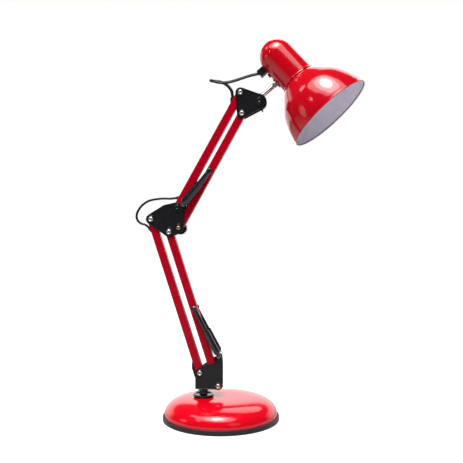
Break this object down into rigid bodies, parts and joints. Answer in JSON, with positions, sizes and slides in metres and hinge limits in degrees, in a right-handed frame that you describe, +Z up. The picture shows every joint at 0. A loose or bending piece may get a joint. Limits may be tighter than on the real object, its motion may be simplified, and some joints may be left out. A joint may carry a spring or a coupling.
{
  "type": "desk lamp",
  "caption": "Adjustable desk lamp with a round weighted base, two sprung parallelogram arms of square tube and a bell shade on a tilting rod.",
  "frame": {"origin": "centre of the base's underside", "axes": "+Z up, +X towards the side the head reaches to, -Y the front"},
  "size_m": [0.3513, 0.2832, 0.5833],
  "materials": {
    "red_gloss": "glossy red enamel",
    "red_tube": "semi-gloss red enamel",
    "black_paint": "satin black paint on pressed steel",
    "black_plastic": "glossy black plastic",
    "black_rubber": "matt black rubber",
    "black_pvc": "black PVC cord sheath",
    "nickel": "nickel-plated steel",
    "brass": "dull brass",
    "chrome": "polished chrome",
    "spring_steel": "bright spring wire",
    "iron": "rough cast iron",
    "foam_pad": "black foam sheet",
    "holder_black": "black moulded thermoset"
  },
  "bodies": {
    "base": {"base_cover": "red_gloss", "base_pad": "foam_pad", "base_rim": "black_rubber", "base_weight": "iron", "floor_cord": "black_pvc", "folded_cord": "black_pvc", "mains_plug": "black_plastic", "post_bush": "nickel", "post_collar": "black_plastic"},
    "swivel": {"bracket_cord": "black_pvc", "cord_relief": "black_rubber", "lower_plate_back": "black_paint", "lower_plate_front": "black_paint", "lower_rivet_left": "nickel", "lower_rivet_right": "nickel", "lower_seat": "black_paint", "swivel_stem": "black_plastic"},
    "lower_arm": {"lower_arm_cord": "black_pvc", "lower_left_tube": "red_tube"},
    "lower_link": {"lower_right_tube": "red_tube"},
    "lower_spring_foot": {"lower_cover_back": "black_plastic", "lower_cover_front": "black_plastic", "lower_spring_back": "spring_steel", "lower_spring_front": "spring_steel"},
    "lower_spring_head": {"lower_spring_yoke": "black_plastic"},
    "elbow": {"elbow_bolt": "brass", "elbow_cord": "black_pvc", "elbow_plate_back": "black_paint", "elbow_plate_front": "black_paint", "elbow_rivet_left": "nickel", "elbow_rivet_right": "nickel", "elbow_rivet_upper": "nickel"},
    "elbow_nut": {"elbow_knob": "black_plastic"},
    "upper_arm": {"upper_arm_cord": "black_pvc", "upper_left_tube": "red_tube"},
    "upper_link": {"upper_right_tube": "red_tube"},
    "upper_spring_foot": {"upper_cover_back": "black_plastic", "upper_cover_front": "black_plastic", "upper_spring_back": "spring_steel", "upper_spring_front": "spring_steel"},
    "upper_spring_head": {"upper_spring_yoke": "black_plastic"},
    "head_bracket": {"head_cord_3": "black_pvc", "head_plate_back": "black_paint", "head_plate_front": "black_paint", "head_rivet_lower": "nickel", "head_rivet_upper": "nickel", "tilt_bolt": "black_paint"},
    "tilt_nut": {"wing_nut": "black_plastic"},
    "socket": {"head_cord_2": "black_pvc", "rod_socket": "nickel"},
    "shaft": {"head_rod": "chrome"},
    "head": {"cord_gland": "black_plastic", "head_cord_1": "black_pvc", "knuckle_fork": "nickel", "knuckle_screw": "nickel", "lampholder": "holder_black", "neck": "red_gloss", "shade": "red_gloss", "switch_housing": "black_plastic"},
    "switch": {"switch_button": "black_plastic"}
  },
  "joints": [
    {"name": "base_swivel", "type": "hinge", "parent": "base", "child": "swivel", "pos_m": [-0.027, 0, 0.0376], "axis": [0, 0, 1], "range_deg": [-90, 90], "deforming": ["floor_cord"]},
    {"name": "lower_arm_tilt", "type": "hinge", "parent": "swivel", "child": "lower_arm", "pos_m": [-0.032, 0, 0.0708], "axis": [0, 1, 0], "range_deg": [-12, 45], "deforming": ["bracket_cord"]},
    {"name": "lower_link_tilt", "type": "hinge", "parent": "swivel", "child": "lower_link", "pos_m": [-0.00369, 0, 0.0509], "axis": [0, 1, 0], "range_deg": [-12.5, 45.5]},
    {"name": "elbow_level", "type": "hinge", "parent": "lower_arm", "child": "elbow", "pos_m": [-0.10812, 0, 0.30704], "axis": [0, 1, 0], "range_deg": [-45.5, 12.5], "deforming": ["lower_arm_cord"]},
    {"name": "lower_cover_swing", "type": "hinge", "parent": "swivel", "child": "lower_spring_foot", "pos_m": [-0.001, 0, 0.096], "axis": [0, 1, 0], "range_deg": [-18.8, 69.2], "deforming": ["lower_cover_back", "lower_cover_front", "lower_spring_back", "lower_spring_front"]},
    {"name": "lower_yoke_swing", "type": "hinge", "parent": "lower_link", "child": "lower_spring_head", "pos_m": [-0.03991, 0, 0.16983], "axis": [0, 1, 0], "range_deg": [-6.8, 24.2]},
    {"name": "elbow_nut_turn", "type": "hinge", "parent": "elbow", "child": "elbow_nut", "pos_m": [-0.0649, 0, 0.2934], "axis": [0, 1, 0], "continuous": true},
    {"name": "upper_arm_tilt", "type": "hinge", "parent": "elbow", "child": "upper_arm", "pos_m": [-0.0672, 0, 0.32552], "axis": [0, 1, 0], "range_deg": [-8, 38], "deforming": ["elbow_cord"]},
    {"name": "upper_link_tilt", "type": "hinge", "parent": "elbow", "child": "upper_link", "pos_m": [-0.0649, 0, 0.2934], "axis": [0, 1, 0], "range_deg": [-8.5, 38.5]},
    {"name": "head_bracket_level", "type": "hinge", "parent": "upper_arm", "child": "head_bracket", "pos_m": [0.03039, 0, 0.50043], "axis": [0, 1, 0], "range_deg": [-38.5, 8.5], "deforming": ["upper_arm_cord"]},
    {"name": "upper_cover_swing", "type": "hinge", "parent": "elbow", "child": "upper_spring_foot", "pos_m": [-0.059, 0, 0.3276], "axis": [0, 1, 0], "range_deg": [-11, 50.3], "deforming": ["upper_cover_back", "upper_cover_front", "upper_spring_back", "upper_spring_front"]},
    {"name": "upper_yoke_swing", "type": "hinge", "parent": "upper_link", "child": "upper_spring_head", "pos_m": [-0.01666, 0, 0.37985], "axis": [0, 1, 0], "range_deg": [-3, 12.3]},
    {"name": "tilt_nut_turn", "type": "hinge", "parent": "head_bracket", "child": "tilt_nut", "pos_m": [0.0595, 0, 0.486], "axis": [0, 1, 0], "continuous": true},
    {"name": "rod_tilt", "type": "hinge", "parent": "head_bracket", "child": "socket", "pos_m": [0.0595, 0, 0.486], "axis": [0, 1, 0], "range_deg": [-25, 25], "deforming": ["head_cord_3"]},
    {"name": "head_swivel", "type": "hinge", "parent": "socket", "child": "shaft", "pos_m": [0.05642, 0, 0.48955], "axis": [0.7547, 0, 0.6561], "range_deg": [-40, 40], "deforming": ["head_cord_2"]},
    {"name": "head_tilt", "type": "hinge", "parent": "shaft", "child": "head", "pos_m": [0.08321, 0, 0.51284], "axis": [0.0913, 0.9903, -0.105], "range_deg": [-12, 20], "deforming": ["head_cord_1"]},
    {"name": "switch_press", "type": "slide", "parent": "head", "child": "switch", "axis": [-0.0913, -0.9903, 0.105], "range_m": [0, 0.0018], "stiffness_N_per_m": 300}
  ],
  "couplings": [
    {"joint": "lower_link_tilt", "follows": "lower_arm_tilt", "ratio": 1},
    {"joint": "elbow_level", "follows": "lower_arm_tilt", "ratio": -1},
    {"joint": "lower_cover_swing", "follows": "lower_arm_tilt", "ratio": 1.526},
    {"joint": "lower_yoke_swing", "follows": "lower_arm_tilt", "ratio": 0.526},
    {"joint": "upper_link_tilt", "follows": "upper_arm_tilt", "ratio": 1},
    {"joint": "head_bracket_level", "follows": "upper_arm_tilt", "ratio": -1},
    {"joint": "upper_cover_swing", "follows": "upper_arm_tilt", "ratio": 1.31},
    {"joint": "upper_yoke_swing", "follows": "upper_arm_tilt", "ratio": 0.31}
  ]
}
